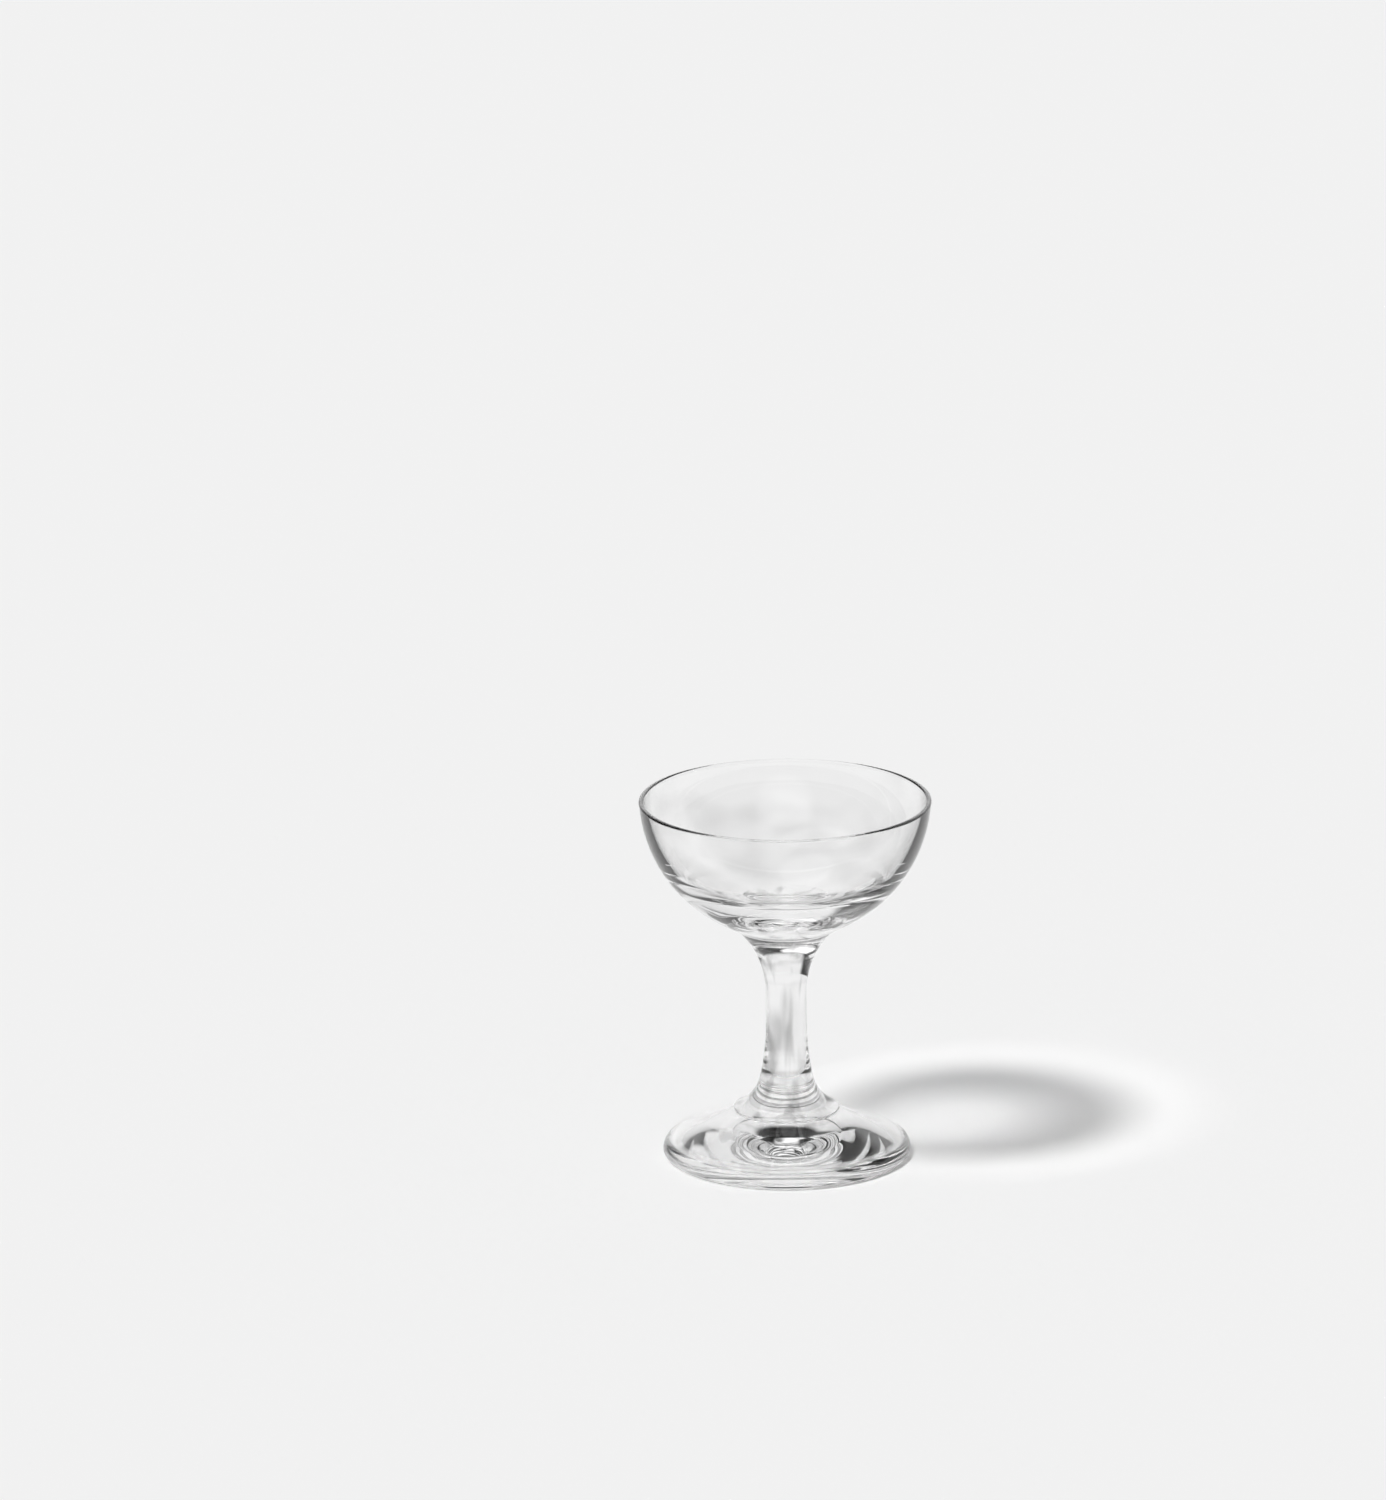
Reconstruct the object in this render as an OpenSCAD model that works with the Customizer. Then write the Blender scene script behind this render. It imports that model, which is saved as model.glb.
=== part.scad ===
// Stemmed liqueur glass: a round bowl, a waisted stem and a conical foot, fused at two flat joints.
// Millimetres, +Z up, origin under the middle of the foot on the surface that it stands on.

/* [Bowl] */
// Outer diameter of the bowl at the rim
rim_d = 68.2; // [60:0.2:76]
// Height of the bowl from its joint with the stem to the rim
bowl_h = 31.4; // [28:0.2:35]
// Thickness of the rounded bead at the rim
rim_t = 1.2; // [0.9:0.1:2]
// How far the bead stands out from the wall on each side
bead_out = 0.08; // [0.04:0.02:0.2]
// How much thicker the wall is at its lower end than below the bead
wall_gain = 2.2; // [0.8:0.1:2.8]
// Slope of the underside where it leaves the stem, in degrees above level
collar_slope = 30; // [25:1:35]
// Solid glass between the joint and the lowest point inside the bowl
base_t = 6.2; // [5:0.2:9]
// Radius of the turn from the wall to the floor inside the bowl
turn_r = 18; // [12:0.5:22]
// Radius of the dish that makes the floor inside the bowl
dish_r = 50; // [40:1:120]

/* [Stem] */
// Height of the stem between its two joints
stem_h = 44.4; // [38:0.4:60]
// Diameter of the stem at its waist
waist_d = 9.7; // [8:0.1:11]
// Height of the waist above the joint with the foot
waist_h = 20.9; // [18.9:0.5:22.9]
// Height of the straight part of the waist
waist_len = 8; // [4:0.5:10]
// Radius of the long hollow curve of the stem's side below the waist
side_r = 60; // [50:1:120]
// Diameter of the joint with the bowl
neck_top_d = 22.8; // [19:0.2:25]
// Diameter of the ring at the flared end, which stands on the foot
ring_d = 24.9; // [22:0.1:28]
// Thickness of the rounded edge of that ring
ring_t = 0.9; // [0.5:0.1:1.6]
// Slope of the flared end where it leaves the ring, in degrees above level
flare_slope = 23; // [18:1:32]

/* [Foot] */
// Diameter of the foot
foot_d = 58.2; // [50:0.2:66]
// Height of the foot up to its joint with the stem
foot_h = 10.6; // [8.6:0.1:12.6]
// Radius of the slight hollow curve of the foot's top
instep_r = 260; // [100:10:600]
// Radius of the upper round of the foot's edge
edge_r = 2.8; // [2:0.1:4]
// Radius of the lower round of the foot's edge
sole_r = 1.1; // [0.6:0.1:1.8]
// Width of the flat ring that the foot stands on
rest_w = 1.5; // [0.8:0.1:6]
// Height of the hollow under the foot
hollow_h = 3.4; // [0.6:0.1:4.6]

/* [Hidden] */
$fn = 240;
glass_tint = [0.86, 0.88, 0.88, 0.6];

// How far neighbouring curves reach into each other, so that they cross cleanly where they meet
lap = 0.01;

// Half widths and heights of the whole glass
rim_r = rim_d / 2;
neck_r = neck_top_d / 2;
ring_r = ring_d / 2;
foot_r = foot_d / 2;
joint_z = foot_h + stem_h;
rim_z = joint_z + bowl_h;
bead_z = rim_z - rim_t / 2;

// Bowl outside: one circle on the axis, which meets the bead and touches the sloped collar.
// Its centre height c above the joint solves lip_r^2 + (lip_h - c)^2 = outer_r^2,
// where outer_r = neck_r * sin(collar_slope) + c * cos(collar_slope) is its distance from the collar.
lip_r = rim_r - bead_out;
lip_h = bead_z - joint_z;
collar_sin = sin(collar_slope);
collar_cos = cos(collar_slope);
half_b = lip_h + neck_r * collar_sin * collar_cos;
last_c = lip_r * lip_r + lip_h * lip_h - pow(neck_r * collar_sin, 2);
outer_h = (half_b - sqrt(half_b * half_b - pow(collar_sin, 2) * last_c)) / pow(collar_sin, 2);
outer_r = neck_r * collar_sin + outer_h * collar_cos;
outer_z = joint_z + outer_h;
collar = [0, outer_z] + (outer_r - lap) * [collar_sin, -collar_cos];

// Bowl inside: a wall circle and a floor circle, both on the axis, with a turn that touches both
wall_z = outer_z + wall_gain;
wall_r = norm([rim_r - rim_t + bead_out, bead_z - wall_z]);
floor_z = joint_z + base_t;
dish_z = floor_z + dish_r;
to_wall = wall_r - turn_r + lap;
to_dish = dish_r - turn_r + lap;
turn_z = ((pow(to_wall, 2) - pow(to_dish, 2)) / (dish_z - wall_z) + dish_z + wall_z) / 2;
turn_x = sqrt(pow(to_wall, 2) - pow(turn_z - wall_z, 2));
wall_end_z = wall_z + (turn_z - wall_z) * wall_r / to_wall;
dish_end_z = dish_z + (turn_z - dish_z) * dish_r / to_dish;

// Stem: a rounded ring, a flare, a hollow side that touches both it and the straight waist, and a hollow neck
waist_r = waist_d / 2;
stem_wide = max(ring_r, neck_r) + 1;
waist_low_z = foot_h + waist_h;
waist_top_z = waist_low_z + waist_len;
side_c = [waist_r - lap + side_r, waist_low_z];
ring_edge_r = ring_t / 2;
ring_edge_c = [ring_r - ring_edge_r, foot_h + ring_edge_r];
ring_out = [sin(flare_slope), cos(flare_slope)];
ring_top = ring_edge_c + (ring_edge_r - lap) * ring_out;
ring_gap = ring_top - side_c;
ring_reach = side_r + lap;
ring_round = (ring_reach * ring_reach - ring_gap * ring_gap) / (ring_reach + ring_gap * ring_out) / 2;
ring_round_c = ring_top + ring_round * ring_out;
ring_end_z = side_c.y + (ring_round_c.y - side_c.y) * side_r / (side_r - ring_round);
neck_gap = [neck_r, joint_z] - [waist_r - lap, waist_top_z];
neck_curve_r = neck_gap * neck_gap / neck_gap.x / 2;
neck_curve_c = [waist_r - lap + neck_curve_r, waist_top_z];

// Foot: an instep curve from the edge of the joint, which touches the round edge, and a round hollow below
joint_edge = [ring_edge_c.x, foot_h];
sole_c = [foot_r - sole_r, sole_r];
edge_c = [foot_r - lap - edge_r, sole_r];
edge_touch_r = edge_r - lap;
to_edge = edge_c - joint_edge;
to_edge_len = norm(to_edge);
instep_reach = instep_r + edge_touch_r;
instep_along = (to_edge_len + (instep_r * instep_r - instep_reach * instep_reach) / to_edge_len) / 2;
instep_aside = sqrt(instep_r * instep_r - instep_along * instep_along);
instep_c = joint_edge + (instep_along * to_edge + instep_aside * [-to_edge.y, to_edge.x]) / to_edge_len;
edge_top_z = edge_c.y + (instep_c.y - edge_c.y) * edge_touch_r / instep_reach;
hollow_edge_r = foot_r - sole_r - rest_w;
hollow_r = (hollow_edge_r * hollow_edge_r + hollow_h * hollow_h) / hollow_h / 2;

// Area from the axis out to a straight slope
module cone_side(low, high) {
    polygon([[0, low.y], low, high, [0, high.y]]);
}

// Area from the axis out to the far side of a circle, between two heights
module bulge(centre, radius, low_z, high_z) {
    intersection() {
        translate([0, low_z]) square([centre.x + 2 * radius, high_z - low_z]);
        union() {
            translate(centre) circle(radius);
            if (centre.x > 0) translate([0, low_z]) square([centre.x, high_z - low_z]);
        }
    }
}

// Area from the axis out to the near side of a circle, between two heights
module waist(centre, radius, low_z, high_z) {
    difference() {
        translate([0, low_z]) square([centre.x, high_z - low_z]);
        translate(centre) circle(radius);
    }
}

// Area from the near side of a side curve out past the stem, between two heights
module side_cut(centre, radius, low_z, high_z) {
    intersection() {
        translate(centre) circle(radius);
        translate([0, low_z]) square([centre.x, high_z - low_z]);
    }
}

// Area from the near side of a flare circle out past the stem, between two heights
module flare_cut(centre, radius, low_z, high_z) {
    translate(centre) circle(radius);
    translate([centre.x, low_z]) square([stem_wide, high_z - low_z]);
}

// Blown bowl with a thick base and a fire-polished bead at the rim
module bowl() {
    color(glass_tint)
    rotate_extrude() {
        difference() {
            union() {
                cone_side([neck_r, joint_z], collar);
                bulge([0, outer_z], outer_r, (joint_z + collar.y) / 2, bead_z);
            }
            bulge([0, wall_z], wall_r, wall_end_z, rim_z);
            bulge([turn_x, turn_z], turn_r, turn_z - turn_r + lap, rim_z);
            bulge([0, dish_z], dish_r, floor_z - rim_t, dish_end_z);
        }
        translate([rim_r - rim_t / 2, bead_z]) circle(rim_t / 2);
    }
}

// Drawn stem, waisted, with a flared end and its ring fused to the foot and a wider neck fused to the bowl
module stem() {
    waist_mid_z = (waist_low_z + waist_top_z) / 2;
    color(glass_tint)
    rotate_extrude() {
        bulge(ring_edge_c, ring_edge_r, foot_h, foot_h + ring_t);
        difference() {
            translate([0, ring_edge_c.y]) square([stem_wide, joint_z - ring_edge_c.y]);
            translate([ring_top.x, ring_edge_c.y]) square([stem_wide, ring_edge_r]);
            flare_cut(ring_round_c, ring_round, ring_edge_c.y, ring_end_z);
            side_cut(side_c, side_r, ring_end_z, waist_mid_z);
            translate([waist_r, waist_low_z]) square([stem_wide, waist_len]);
            side_cut(neck_curve_c, neck_curve_r, waist_mid_z, joint_z + lap);
        }
    }
}

// Pressed foot with a nearly straight instep, a rounded edge and a round hollow below
module foot() {
    color(glass_tint)
    rotate_extrude() {
        difference() {
            union() {
                bulge(sole_c, sole_r, 0, 2 * sole_r);
                bulge(edge_c, edge_r, sole_r, sole_r + edge_r);
                waist(instep_c, instep_r, edge_top_z, foot_h);
            }
            bulge([0, hollow_h - hollow_r], hollow_r, -hollow_h, 2 * hollow_h);
        }
    }
}

bowl();
stem();
foot();
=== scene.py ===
import math

import bpy
from mathutils import Matrix, Vector


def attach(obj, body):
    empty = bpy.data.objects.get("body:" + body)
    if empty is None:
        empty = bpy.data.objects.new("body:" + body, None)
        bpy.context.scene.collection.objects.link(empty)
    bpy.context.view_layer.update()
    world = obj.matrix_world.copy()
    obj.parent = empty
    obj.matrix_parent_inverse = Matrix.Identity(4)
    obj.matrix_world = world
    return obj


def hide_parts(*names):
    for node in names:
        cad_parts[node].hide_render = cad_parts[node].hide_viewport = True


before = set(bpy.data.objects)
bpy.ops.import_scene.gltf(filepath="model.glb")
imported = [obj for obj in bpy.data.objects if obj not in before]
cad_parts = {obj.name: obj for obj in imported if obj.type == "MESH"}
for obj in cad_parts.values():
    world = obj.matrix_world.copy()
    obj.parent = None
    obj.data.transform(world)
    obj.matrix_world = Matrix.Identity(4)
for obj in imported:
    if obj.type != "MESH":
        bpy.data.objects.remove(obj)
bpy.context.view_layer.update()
print("frame loaded, nodes:", ", ".join(sorted(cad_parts)))

mm = 0.001
turnSteps = 256  # facets round the axis, fine enough for smooth refraction
arcStep = 0.4  # length of one step along a curve of the profile, in mm
weldGap = 0.001 * mm  # points nearer than this become one
creaseAngle = math.radians(12)  # edges that turn more than this stay sharp
seamLevel = 0.999  # least upright part of a fused face's normal
seamGap = 0.01 * mm  # how far a fused face may lie from its height


def hexColour(code):
    channels = [int(code[i:i + 2], 16) / 255 for i in (1, 3, 5)]
    return [c / 12.92 if c <= 0.04045 else ((c + 0.055) / 1.055) ** 2.4 for c in channels] + [1.0]


def addNode(tree, kind, settings=None, links=None):
    node = tree.nodes.new(kind)
    for name, value in (settings or {}).items():
        if isinstance(name, int) or name in node.inputs:
            node.inputs[name].default_value = value
        else:
            setattr(node, name, value)
    for name, source in (links or {}).items():
        tree.links.new(source, node.inputs[name])
    return node


def newTree(name):
    material = bpy.data.materials.new(name)
    material.use_nodes = True
    material.node_tree.nodes.clear()
    return material, material.node_tree


def touchPoint(fromCentre, toPoint, radius):
    # point on a circle in the direction of another point
    away = Vector(toPoint) - Vector(fromCentre)
    return Vector(fromCentre) + away.normalized() * radius


def startProfile(name, point):
    # a plane collapsed to one vertex, which then draws the half profile in the XZ plane
    bpy.ops.object.select_all(action="DESELECT")
    bpy.ops.mesh.primitive_plane_add(size=mm, location=(0, 0, 0))
    piece = bpy.context.object
    piece.name = name
    piece.data.name = name
    bpy.ops.object.mode_set(mode="EDIT")
    bpy.ops.mesh.select_mode(type="VERT")
    bpy.ops.mesh.select_all(action="SELECT")
    bpy.ops.mesh.merge(type="CENTER")
    bpy.ops.transform.translate(value=(point[0] * mm, 0, point[1] * mm))
    return piece


def drawLine(start, end, steps=1):
    # moves the last vertex straight on, in equal steps
    move = (Vector(end) - Vector(start)) / steps
    for _ in range(steps):
        bpy.ops.mesh.extrude_region_move(TRANSFORM_OT_translate={"value": (move.x * mm, 0, move.y * mm)})
    return Vector(end)


def drawArc(start, end, centre, least=4):
    # swings the last vertex round a centre, the short way
    a, b = Vector(start) - Vector(centre), Vector(end) - Vector(centre)
    angle = math.atan2(a.x * b.y - a.y * b.x, a.dot(b))
    steps = max(least, round(abs(angle) * a.length / arcStep))
    bpy.ops.mesh.spin(steps=steps, angle=abs(angle), center=(centre[0] * mm, 0, centre[1] * mm),
                      axis=(0, math.copysign(1, angle), 0))
    return Vector(end)


def turnProfile(piece):
    bpy.ops.mesh.select_all(action="SELECT")
    bpy.ops.mesh.remove_doubles(threshold=weldGap)
    bpy.ops.mesh.spin(steps=turnSteps, angle=2 * math.pi, center=(0, 0, 0), axis=(0, 0, 1))
    bpy.ops.mesh.select_all(action="SELECT")
    bpy.ops.mesh.remove_doubles(threshold=weldGap)
    bpy.ops.mesh.normals_make_consistent(inside=False)
    bpy.ops.mesh.select_all(action="DESELECT")
    bpy.ops.object.mode_set(mode="OBJECT")
    bpy.ops.object.shade_smooth_by_angle(angle=creaseAngle)


def dressPiece(piece, node, glass, seam, seamHeights):
    # the flat fused faces take the seam, all else the glass
    piece.data.materials.append(glass)
    piece.data.materials.append(seam)
    for face in piece.data.polygons:
        flat = abs(face.normal.z) > seamLevel
        if flat and any(abs(face.center.z - height * mm) < seamGap for height in seamHeights):
            face.material_index = 1
    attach(piece, "root")
    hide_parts(node)
    print(node, "made,", len(piece.data.polygons), "faces")


# Fused seam: the pieces were melted together here, so the eye sees no surface at all
fusedSeam, tree = newTree("fusedSeam")
shader = addNode(tree, "ShaderNodeBsdfPrincipled", {
    "Base Color": hexColour("#ffffff"), "Transmission Weight": 1.0, "IOR": 1.0, "Roughness": 0.0})
addNode(tree, "ShaderNodeOutputMaterial", links={"Surface": shader.outputs[0]})

# What the three glasses share: how they bend light, the part of a noise that counts as painted shade or haze,
# the grain of haze and scuffs in mm, and the heights in mm between which the scuffs come in
anyGlass = {"tint": "#ffffff", "bend": 1.52, "paintedShadeFrom": 0.45, "paintedShadeFull": 0.72, "hazeFrom": 0.45,
            "hazeFull": 0.75, "hazeGrain": 12, "scuffGrain": 0.6, "scuffTop": 0.3, "scuffFull": 0.02}


def makeGlass(look):
    # clear glass with the unevenness and the slight haze that making and use left in it, and grey streaks of
    # painted shade in its colour
    material, tree = newTree(look["name"])
    place = addNode(tree, "ShaderNodeTexCoord").outputs["Object"]
    stretched = addNode(tree, "ShaderNodeMapping", {"Scale": look["stretch"]}, {"Vector": place}).outputs[0]
    waves = addNode(tree, "ShaderNodeTexNoise", {
        "Scale": 1 / (look["waveLength"] * mm), "Detail": 1.0, "Roughness": 0.4}, {"Vector": stretched})
    bump = addNode(tree, "ShaderNodeBump", {"Strength": 1.0, "Distance": look["waveHeight"] * mm},
                   {"Height": waves.outputs[0]})
    # painted shade: grey streaks and patches mixed into the glass's colour, for shadows seen through the glass
    paintedShades = addNode(tree, "ShaderNodeTexNoise", {
        "Scale": 1 / (look["paintedShadeWidth"] * mm), "Detail": 2.0, "Roughness": 0.5}, {"Vector": stretched})
    paintedShadeMask = addNode(tree, "ShaderNodeMapRange", {
        "interpolation_type": "SMOOTHSTEP", "From Min": anyGlass["paintedShadeFrom"], "From Max": anyGlass["paintedShadeFull"]},
        {"Value": paintedShades.outputs[0]})
    colour = addNode(tree, "ShaderNodeMix", {
        "data_type": "RGBA", 6: hexColour(anyGlass["tint"]), 7: hexColour(look["paintedShade"])},
        {0: paintedShadeMask.outputs[0]})
    shader = addNode(tree, "ShaderNodeBsdfPrincipled", {
        "Transmission Weight": 1.0, "IOR": anyGlass["bend"], "Roughness": 0.0},
        {"Base Color": colour.outputs[2], "Normal": bump.outputs[0]})
    if "haze" in look:
        haze = addNode(tree, "ShaderNodeTexNoise", {
            "Scale": 1 / (anyGlass["hazeGrain"] * mm), "Detail": 3.0}, {"Vector": place})
        rough = addNode(tree, "ShaderNodeMapRange", {
            "From Min": anyGlass["hazeFrom"], "From Max": anyGlass["hazeFull"], "To Max": look["haze"]},
            {"Value": haze.outputs[0]})
        if "scuff" in look:
            # fine scuffs on the ring that rubs on the table, up to a fraction of a millimetre above it
            scuffs = addNode(tree, "ShaderNodeTexNoise", {
                "Scale": 1 / (anyGlass["scuffGrain"] * mm), "Detail": 4.0}, {"Vector": place})
            height = addNode(tree, "ShaderNodeSeparateXYZ", links={0: place})
            low = addNode(tree, "ShaderNodeMapRange", {
                "From Min": anyGlass["scuffTop"] * mm, "From Max": anyGlass["scuffFull"] * mm,
                "To Max": look["scuff"]}, {"Value": height.outputs["Z"]})
            rough = addNode(tree, "ShaderNodeMath", {"operation": "MULTIPLY_ADD"},
                            {0: scuffs.outputs[0], 1: low.outputs[0], 2: rough.outputs[0]})
        tree.links.new(rough.outputs[0], shader.inputs["Roughness"])
    addNode(tree, "ShaderNodeOutputMaterial", links={"Surface": shader.outputs[0]})
    return material


# Widths of the painted shade streaks, wave lengths and wave heights are in mm
# Blown soda-lime glass, turned while hot: clear, with faint waves, a slight wash haze in its roughness, and
# broad grey patches of painted shade in its colour, for shadows seen through the bowl
blownGlass = makeGlass({"name": "blownSodaLime", "paintedShade": "#eeeeee", "paintedShadeWidth": 22, "stretch": (1, 1, 1.6),
                        "waveLength": 14, "waveHeight": 0.02, "haze": 0.02})
# Drawn soda-lime glass: clear, with lines along the stem where it was pulled, and long soft grey streaks of
# painted shade in its colour, for shadows seen through the stem
drawnGlass = makeGlass({"name": "drawnSodaLime", "paintedShade": "#acacac", "paintedShadeWidth": 3, "stretch": (1, 1, 0.15),
                        "waveLength": 6, "waveHeight": 0.15})
# Pressed soda-lime glass: clear, with the slight chill ripple of the mould, a scuffed resting ring and faint
# grey patches of painted shade in its colour
pressedGlass = makeGlass({"name": "pressedSodaLime", "paintedShade": "#f8f8f8", "paintedShadeWidth": 16, "stretch": (1, 1, 1),
                          "waveLength": 9, "waveHeight": 0.03, "haze": 0.01, "scuff": 0.5})

# Bowl, all sizes in mm; beadMeet is the part of the bead's radius at which the walls run into it
bowlShape = {"rimRadius": 34.1, "rimHeight": 86.4, "beadRadius": 0.6, "beadOut": 0.08, "beadMeet": 0.99,
             "wallGain": 2.2, "collarSlope": 30, "neckRadius": 11.4, "jointHeight": 55, "floorHeight": 61.2,
             "turnRadius": 18, "dishRadius": 50}


def makeBowl(s):
    slope = math.radians(s["collarSlope"])
    bead = Vector((s["rimRadius"] - s["beadRadius"], s["rimHeight"] - s["beadRadius"]))
    neck = Vector((s["neckRadius"], s["jointHeight"]))
    # outside: one circle on the axis through the bead, touching the collar
    lip = Vector((s["rimRadius"] - s["beadOut"], bead.y - neck.y))
    halfB = lip.y + neck.x * math.sin(slope) * math.cos(slope)
    lastC = lip.length_squared - (neck.x * math.sin(slope)) ** 2
    rise = (halfB - math.sqrt(halfB ** 2 - math.sin(slope) ** 2 * lastC)) / math.sin(slope) ** 2
    outer = Vector((0, neck.y + rise))
    outerRadius = neck.x * math.sin(slope) + rise * math.cos(slope)
    collar = outer + outerRadius * Vector((math.sin(slope), -math.cos(slope)))
    # inside: a wall circle and a floor circle on the axis, with a turn that touches both
    wall = outer + Vector((0, s["wallGain"]))
    wallRadius = (Vector((s["rimRadius"] - 2 * s["beadRadius"] + s["beadOut"], bead.y)) - wall).length
    dish = Vector((0, s["floorHeight"] + s["dishRadius"]))
    toWall, toDish = wallRadius - s["turnRadius"], s["dishRadius"] - s["turnRadius"]
    turnZ = ((toWall ** 2 - toDish ** 2) / (dish.y - wall.y) + dish.y + wall.y) / 2
    turn = Vector((math.sqrt(toWall ** 2 - (turnZ - wall.y) ** 2), turnZ))
    # the bead meets the two walls where they run into it
    drop = math.sqrt(1 - s["beadMeet"] ** 2)
    innerLip = touchPoint(wall, bead + s["beadRadius"] * Vector((-s["beadMeet"], -drop)), wallRadius)
    outerLip = touchPoint(outer, bead + s["beadRadius"] * Vector((s["beadMeet"], -drop)), outerRadius)
    beadTop = bead + Vector((0, s["beadRadius"]))
    piece = startProfile("bowlGlass", (0, s["floorHeight"]))
    at = drawArc((0, s["floorHeight"]), touchPoint(dish, turn, s["dishRadius"]), dish)
    at = drawArc(at, touchPoint(wall, turn, wallRadius), turn)
    at = drawArc(at, innerLip, wall)
    at = drawLine(at, bead + Vector((-s["beadRadius"], 0)))
    at = drawArc(at, beadTop, bead, least=8)
    at = drawArc(at, bead + Vector((s["beadRadius"], 0)), bead, least=8)
    at = drawLine(at, outerLip)
    at = drawArc(at, collar, outer)
    at = drawLine(at, neck, steps=12)
    drawLine(at, (0, s["jointHeight"]), steps=6)
    turnProfile(piece)
    return piece


bowl = makeBowl(bowlShape)
dressPiece(bowl, "bowl", blownGlass, fusedSeam, (bowlShape["jointHeight"],))

# Stem, all sizes in mm
stemShape = {"lowJoint": 10.6, "highJoint": 55, "ringRadius": 12.45, "ringEdge": 0.45, "flareSlope": 23,
             "waistRadius": 4.85, "waistLow": 31.5, "waistHigh": 39.5, "sideRadius": 60, "neckRadius": 11.4}


def makeStem(s):
    # the flare touches the ring's rounded edge and the long hollow side
    slope = math.radians(s["flareSlope"])
    edge = Vector((s["ringRadius"] - s["ringEdge"], s["lowJoint"] + s["ringEdge"]))
    lowSide = Vector((s["waistRadius"] + s["sideRadius"], s["waistLow"]))
    out = Vector((math.sin(slope), math.cos(slope)))
    ring = edge + s["ringEdge"] * out
    gap = ring - lowSide
    ringRound = (s["sideRadius"] ** 2 - gap.length_squared) / (s["sideRadius"] + gap.dot(out)) / 2
    ringCentre = ring + ringRound * out
    # the hollow neck touches the straight waist and ends at the joint with the bowl
    neckTop = Vector((s["neckRadius"], s["highJoint"]))
    gap = neckTop - Vector((s["waistRadius"], s["waistHigh"]))
    neckCurve = gap.length_squared / gap.x / 2
    neckCentre = Vector((s["waistRadius"] + neckCurve, s["waistHigh"]))
    piece = startProfile("stemGlass", (0, s["highJoint"]))
    at = drawLine((0, s["highJoint"]), neckTop, steps=6)
    at = drawArc(at, (s["waistRadius"], s["waistHigh"]), neckCentre)
    at = drawLine(at, (s["waistRadius"], s["waistLow"]), steps=6)
    at = drawArc(at, touchPoint(lowSide, ringCentre, s["sideRadius"]), lowSide)
    at = drawArc(at, ring, ringCentre)
    at = drawArc(at, edge + Vector((s["ringEdge"], 0)), edge, least=6)
    at = drawArc(at, (edge.x, s["lowJoint"]), edge, least=8)
    drawLine(at, (0, s["lowJoint"]), steps=6)
    turnProfile(piece)
    return piece


stem = makeStem(stemShape)
dressPiece(stem, "stem", drawnGlass, fusedSeam, (stemShape["lowJoint"], stemShape["highJoint"]))

# Foot, all sizes in mm
footShape = {"joint": 10.6, "seatRadius": 12, "footRadius": 29.1, "instepRadius": 260, "edgeRadius": 2.8,
             "soleRadius": 1.1, "hollowRadius": 26.5, "hollowHeight": 3.4}


def makeFoot(s):
    seat = Vector((s["seatRadius"], s["joint"]))
    sole = Vector((s["footRadius"] - s["soleRadius"], s["soleRadius"]))
    edge = Vector((s["footRadius"] - s["edgeRadius"], s["soleRadius"]))
    # the instep starts at the seat and touches the round edge
    span = edge - seat
    reach = s["instepRadius"] + s["edgeRadius"]
    along = (s["instepRadius"] ** 2 - reach ** 2 + span.length_squared) / (2 * span.length)
    aside = math.sqrt(s["instepRadius"] ** 2 - along ** 2)
    unit = span.normalized()
    instepCentre = seat + along * unit + aside * Vector((-unit.y, unit.x))
    hollow = (s["hollowRadius"] ** 2 + s["hollowHeight"] ** 2) / s["hollowHeight"] / 2
    piece = startProfile("footGlass", (0, s["joint"]))
    at = drawLine((0, s["joint"]), seat, steps=6)
    at = drawArc(at, touchPoint(edge, instepCentre, s["edgeRadius"]), instepCentre)
    at = drawArc(at, (s["footRadius"], s["soleRadius"]), edge, least=10)
    at = drawArc(at, (sole.x, 0), sole, least=8)
    at = drawLine(at, (s["hollowRadius"], 0), steps=10)
    drawArc(at, (0, s["hollowHeight"]), (0, s["hollowHeight"] - hollow))
    turnProfile(piece)
    return piece


foot = makeFoot(footShape)
dressPiece(foot, "foot", pressedGlass, fusedSeam, (footShape["joint"],))

# Studio: a pale table, a key lamp from the left and even fill. The glass shows a pale backdrop and two soft
# lamps in a dark room. Angles are in degrees, turns from straight behind the glass and heights from level.
# The table's radius is in m, and its drop, in mm, keeps it clear of the foot
studio = {"pale": "#f0f0f0", "dark": "#242424", "tableRadius": 20, "tableDrop": 0.02, "fill": 0.38,
          "keyLevel": 0.62, "keyTurn": -121, "keyHeight": 57, "keySpread": 10, "throughSpread": 30,
          "cardLeft": -28, "cardRight": 85, "cardTop": 34, "cardSoft": 5, "cardLevel": 0.98, "lampSoft": 5,
          "lamps": ({"turn": -100, "height": 70, "half": 26, "level": 1.5},
                    {"turn": 180, "height": 32, "half": 22, "level": 1.0})}

bpy.ops.object.select_all(action="DESELECT")
bpy.ops.mesh.primitive_circle_add(vertices=96, radius=studio["tableRadius"], fill_type="NGON",
                                  location=(0, 0, 0))
floor = bpy.context.object
floor.name = "table"
bpy.ops.object.mode_set(mode="EDIT")
bpy.ops.mesh.select_all(action="SELECT")
bpy.ops.transform.translate(value=(0, 0, -studio["tableDrop"] * mm))
bpy.ops.object.mode_set(mode="OBJECT")
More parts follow.
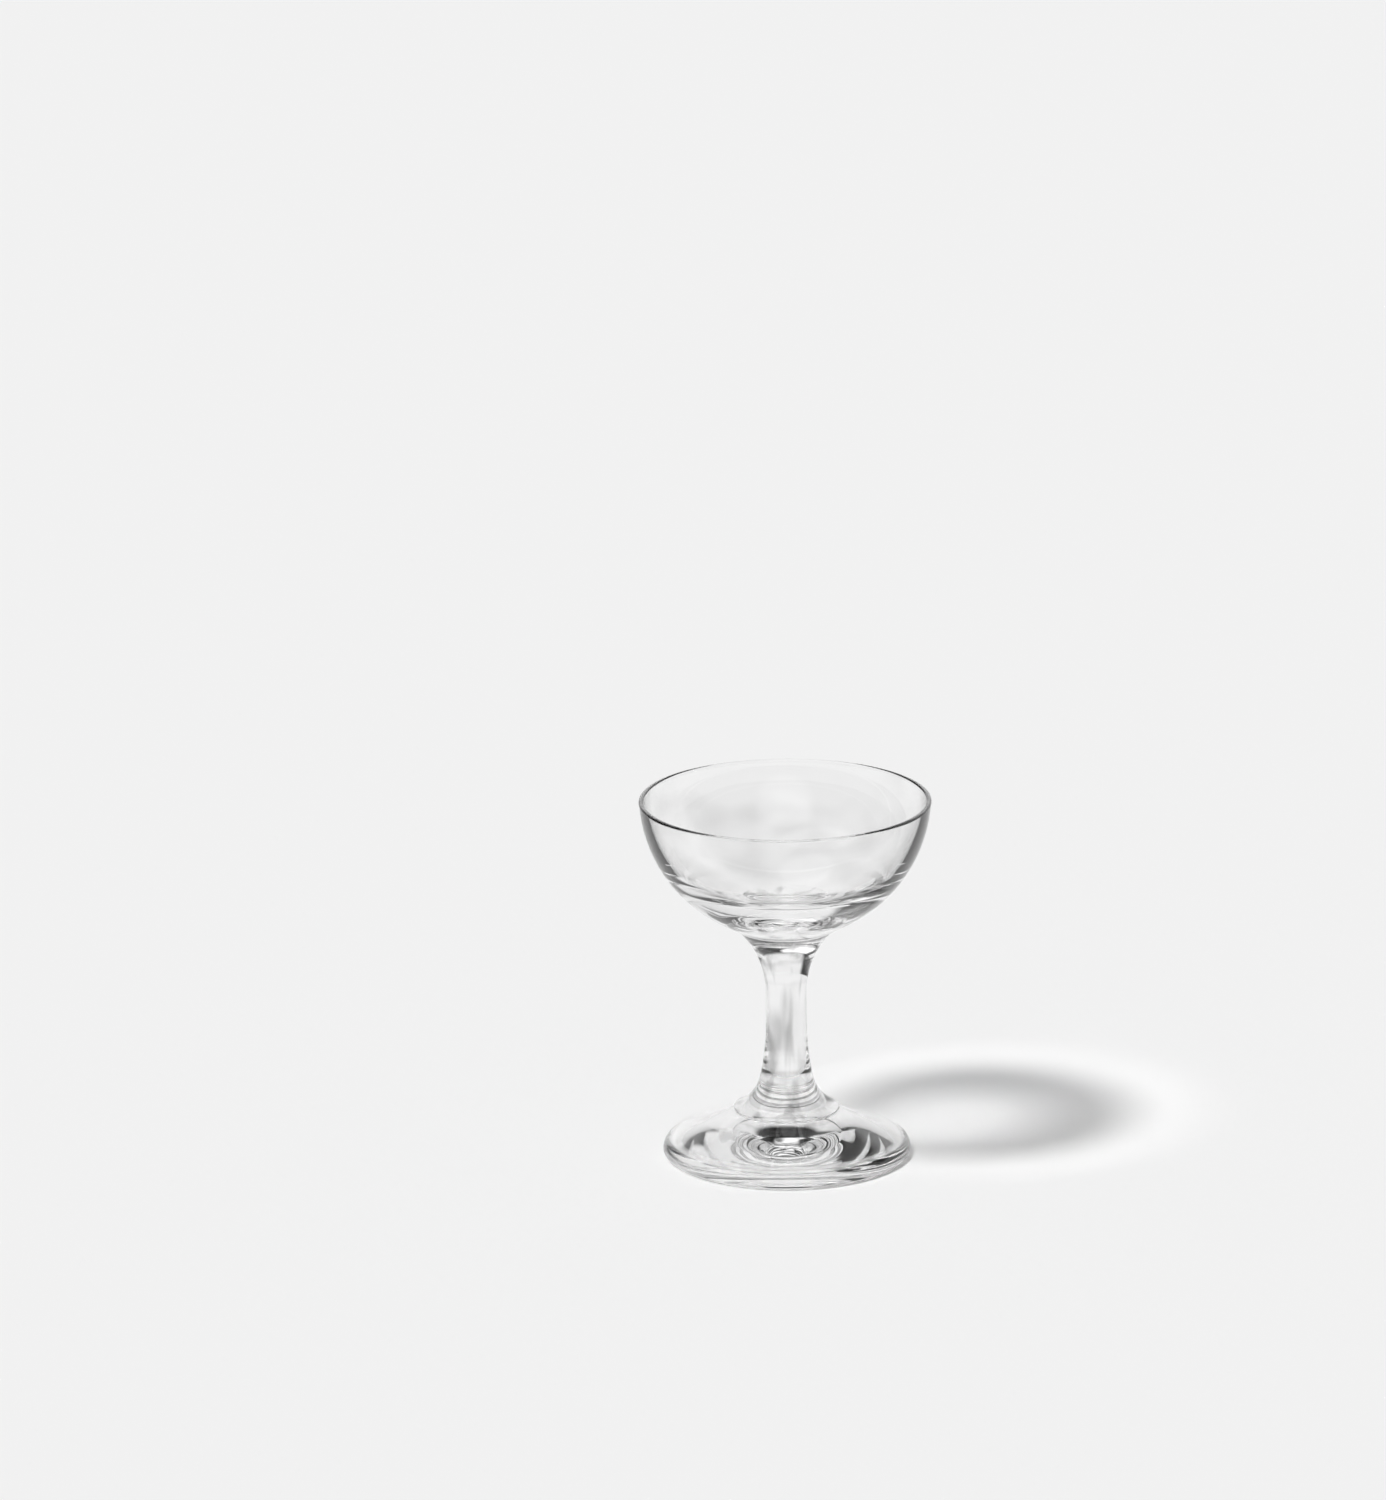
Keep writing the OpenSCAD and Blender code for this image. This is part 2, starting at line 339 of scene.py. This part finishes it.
# Matt pale card: even and plain
paleCard, tree = newTree("paleCard")
shader = addNode(tree, "ShaderNodeBsdfDiffuse", {"Color": hexColour(studio["pale"])})
addNode(tree, "ShaderNodeOutputMaterial", links={"Surface": shader.outputs[0]})
floor.data.materials.append(paleCard)


def direction(turn, height):
    turn, height = math.radians(turn), math.radians(height)
    return Vector((math.sin(turn) * math.cos(height), math.cos(turn) * math.cos(height), math.sin(height)))


# the key lights the table, and the glass shows the room instead of it
toKey = direction(studio["keyTurn"], studio["keyHeight"])
keyData = bpy.data.lights.new("keyLamp", "SUN")
keyData.angle = math.radians(studio["keySpread"])
keyData.energy = studio["keyLevel"] * math.pi / toKey.z
key = bpy.data.objects.new("keyLamp", keyData)
key.rotation_euler = toKey.to_track_quat("Z", "Y").to_euler()
key.visible_glossy = False
key.visible_transmission = False
bpy.context.collection.objects.link(key)

world = bpy.data.worlds.new("studioRoom")
bpy.context.scene.world = world
world.use_nodes = True
tree = world.node_tree
tree.nodes.clear()
way = addNode(tree, "ShaderNodeTexCoord").outputs["Generated"]
path = addNode(tree, "ShaderNodeLightPath")
# what the glass shows: the backdrop, wider on the right, and the lamps high on the left and behind the camera
split = addNode(tree, "ShaderNodeSeparateXYZ", links={0: way})
turned = addNode(tree, "ShaderNodeMath", {"operation": "ARCTAN2"}, {0: split.outputs[0], 1: split.outputs[1]})
raised = addNode(tree, "ShaderNodeMath", {"operation": "ARCSINE"}, {0: split.outputs[2]})
cardSoft = studio["cardSoft"]
cardEdges = ((turned, studio["cardLeft"], cardSoft, 1.0), (turned, studio["cardRight"], -cardSoft, 1.0),
             (raised, studio["cardTop"], -cardSoft, studio["cardLevel"]))
shown = None
for angle, edge, soft, level in cardEdges:
    fade = addNode(tree, "ShaderNodeMapRange", {
        "interpolation_type": "SMOOTHSTEP", "From Min": math.radians(edge - soft),
        "From Max": math.radians(edge + soft), "To Max": level}, {"Value": angle.outputs[0]})
    shown = fade if shown is None else addNode(tree, "ShaderNodeMath", {"operation": "MULTIPLY"}, {
        0: shown.outputs[0], 1: fade.outputs[0]})
for lamp in studio["lamps"]:
    near = addNode(tree, "ShaderNodeVectorMath", {
        "operation": "DOT_PRODUCT", 1: direction(lamp["turn"], lamp["height"])}, {0: way})
    fade = addNode(tree, "ShaderNodeMapRange", {
        "interpolation_type": "SMOOTHSTEP", "To Max": lamp["level"],
        "From Min": math.cos(math.radians(lamp["half"] + studio["lampSoft"])),
        "From Max": math.cos(math.radians(lamp["half"] - studio["lampSoft"]))},
        {"Value": near.outputs["Value"]})
    shown = addNode(tree, "ShaderNodeMath", {"operation": "MAXIMUM"}, {0: shown.outputs[0], 1: fade.outputs[0]})
room = addNode(tree, "ShaderNodeMix", {
    "data_type": "RGBA", "clamp_factor": False, 6: hexColour(studio["dark"]), 7: hexColour(studio["pale"])},
    {0: shown.outputs[0]})
# what lights the table: an even fill, and the key where its light comes through the glass
halfThrough = math.radians(studio["throughSpread"] / 2)
nearKey = addNode(tree, "ShaderNodeVectorMath", {"operation": "DOT_PRODUCT", 1: toKey}, {0: way})
inKey = addNode(tree, "ShaderNodeMath", {"operation": "GREATER_THAN", 1: math.cos(halfThrough)},
                {0: nearKey.outputs["Value"]})
through = addNode(tree, "ShaderNodeMath", {"operation": "MULTIPLY"},
                  {0: inKey.outputs[0], 1: path.outputs["Is Transmission Ray"]})
keyShine = keyData.energy / (math.pi * math.sin(halfThrough) ** 2)
glow = addNode(tree, "ShaderNodeMath", {"operation": "MULTIPLY_ADD", 1: keyShine, 2: studio["fill"]},
               {0: through.outputs[0]})
lit = addNode(tree, "ShaderNodeMix", {"data_type": "RGBA"},
              {0: path.outputs["Diffuse Depth"], 6: room.outputs[2], 7: glow.outputs[0]})
# what the camera sees past the table: the same pale tone
seen = addNode(tree, "ShaderNodeMix", {"data_type": "RGBA", 7: hexColour(studio["pale"])},
               {0: path.outputs["Is Camera Ray"], 6: lit.outputs[2]})
back = addNode(tree, "ShaderNodeBackground", links={"Color": seen.outputs[2]})
addNode(tree, "ShaderNodeOutputWorld", links={"Surface": back.outputs[0]})
print("studio set")

# Camera: place in mm, tilts in degrees, lens in mm for a sensor in mm along the photograph's long side
view = {"place": (-21.3, -1947, 660), "down": 16.09, "roll": -0.5, "lens": 209.4, "sensor": 36}
down, roll = math.radians(view["down"]), math.radians(view["roll"])
ahead = Vector((0, math.cos(down), -math.sin(down)))
up = Vector((0, math.sin(down), math.cos(down)))
right = Vector((1, 0, 0))
tiltRight = math.cos(roll) * right + math.sin(roll) * up
tiltUp = math.cos(roll) * up - math.sin(roll) * right
cameraData = bpy.data.cameras.new("photoView")
cameraData.lens = view["lens"]
cameraData.sensor_width = view["sensor"]
camera = bpy.data.objects.new("photoView", cameraData)
camera.matrix_world = Matrix.Translation(Vector(view["place"]) * mm) @ Matrix(
    (tiltRight, tiltUp, -ahead)).transposed().to_4x4()
bpy.context.collection.objects.link(camera)
bpy.context.scene.camera = camera

scene = bpy.context.scene
scene.view_settings.view_transform = "Standard"
# thick glass passes light back and forth many times
scene.cycles.max_bounces = 32
scene.cycles.transmission_bounces = 32
scene.cycles.glossy_bounces = 16
# light that comes through the glass stays sharp on the table
scene.cycles.blur_glossy = 0.0
print("camera set")
